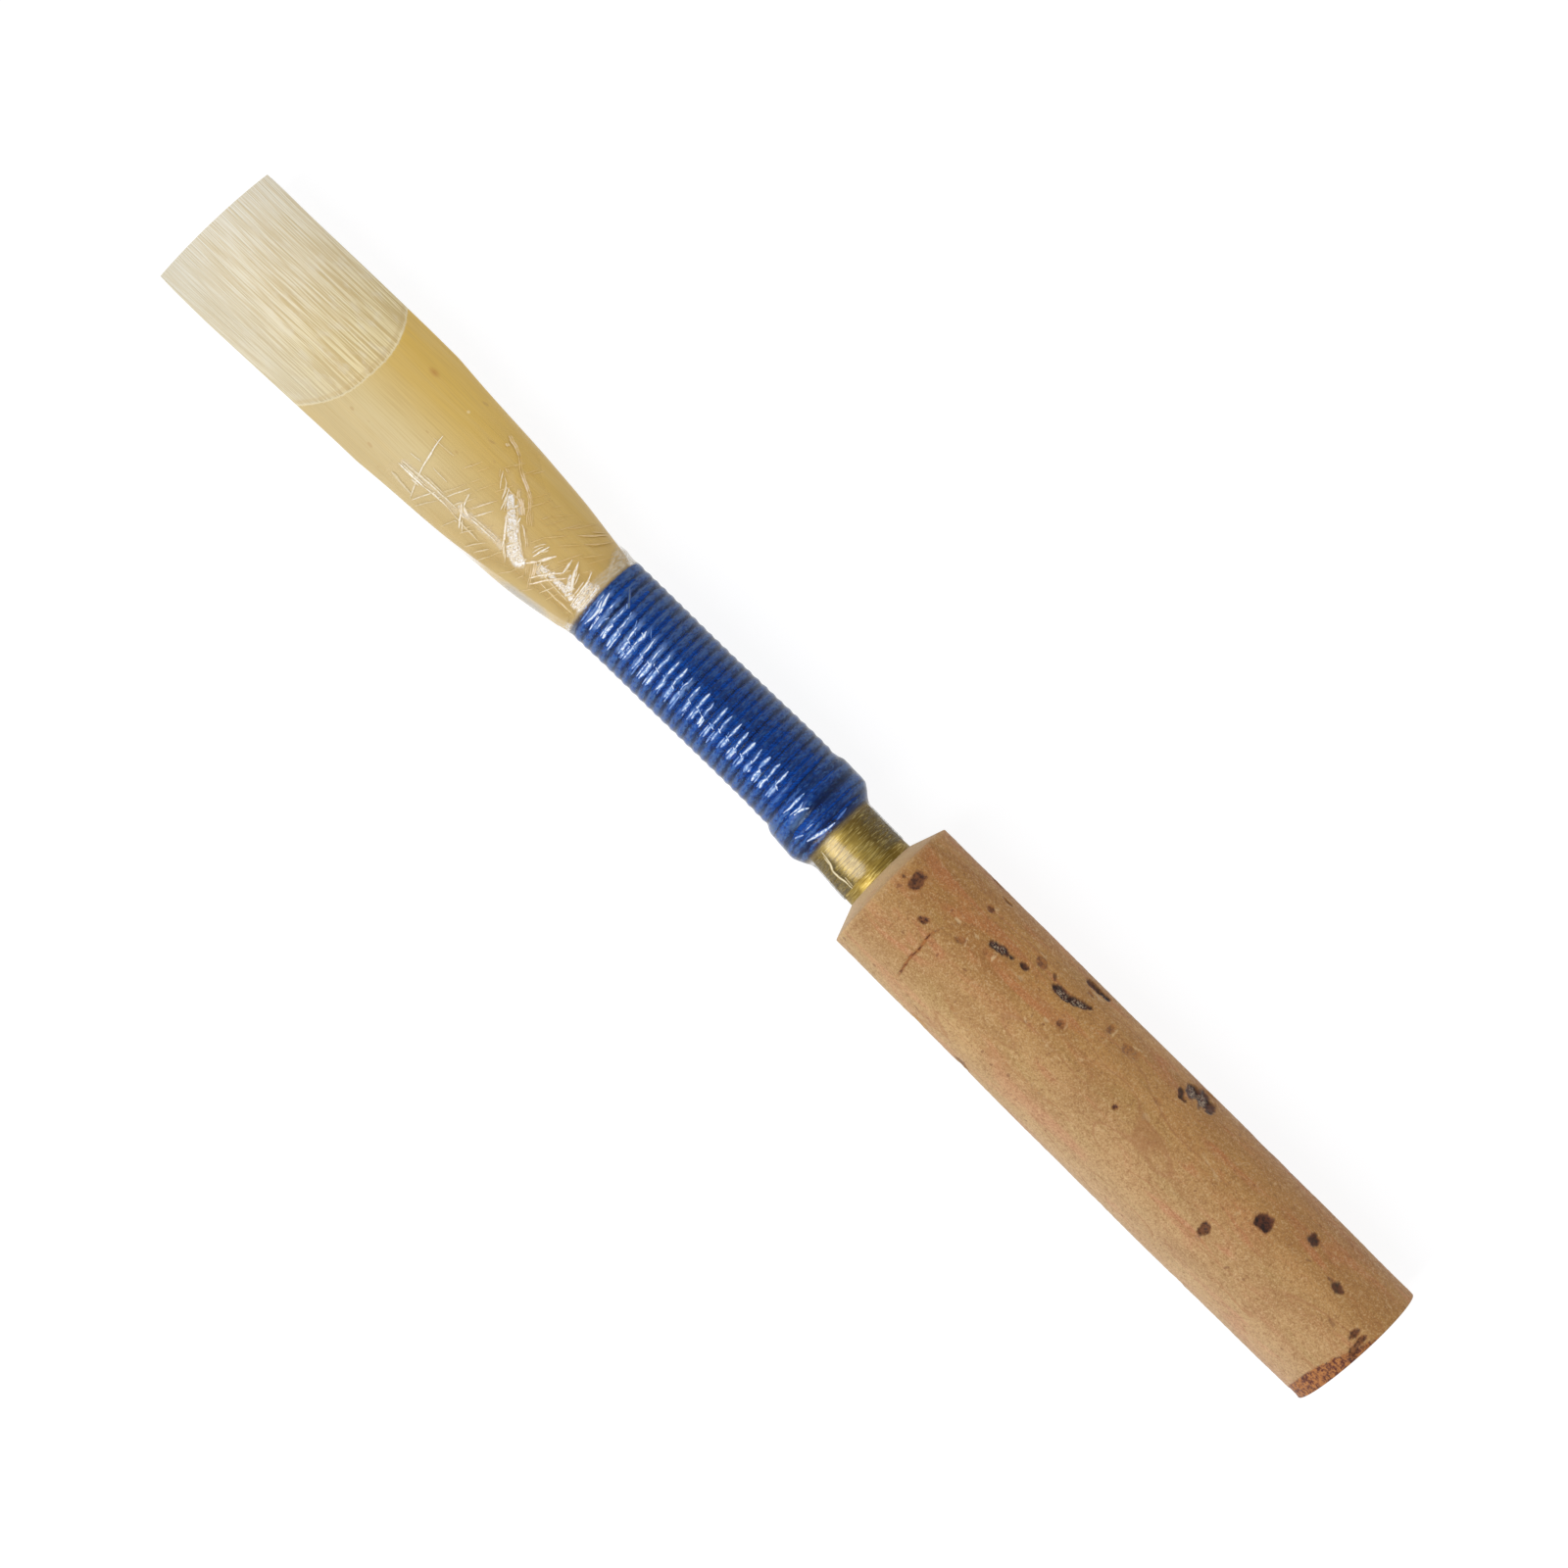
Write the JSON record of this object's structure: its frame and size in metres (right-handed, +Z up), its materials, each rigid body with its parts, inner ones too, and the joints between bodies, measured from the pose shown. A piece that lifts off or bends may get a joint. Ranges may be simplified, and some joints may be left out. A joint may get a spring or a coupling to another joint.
{
  "type": "oboe reed",
  "caption": "Double cane reed for an oboe: two scraped blades tied with blue thread to a brass staple in a cork sleeve, sealed with clear film.",
  "frame": {"origin": "on the surface that the reed lies on, under the middle of its length", "axes": "+X along the reed from the tip of the blades to the foot of the cork, +Z up, square to the flat of the blades"},
  "size_m": [0.072, 0.0068, 0.0069],
  "materials": {
    "cane": "smooth bark, scraped pale to the tip",
    "brass": "turned, lightly tarnished",
    "cork": "sanded natural cork",
    "thread": "twisted nylon",
    "film": "clear, creased"
  },
  "bodies": {
    "root": {"upper_blade": "cane", "lower_blade": "cane", "staple": "brass", "cork": "cork", "thread_winding": "thread", "thread_tie_off": "thread", "sealing_film": "film"}
  },
  "joints": []
}
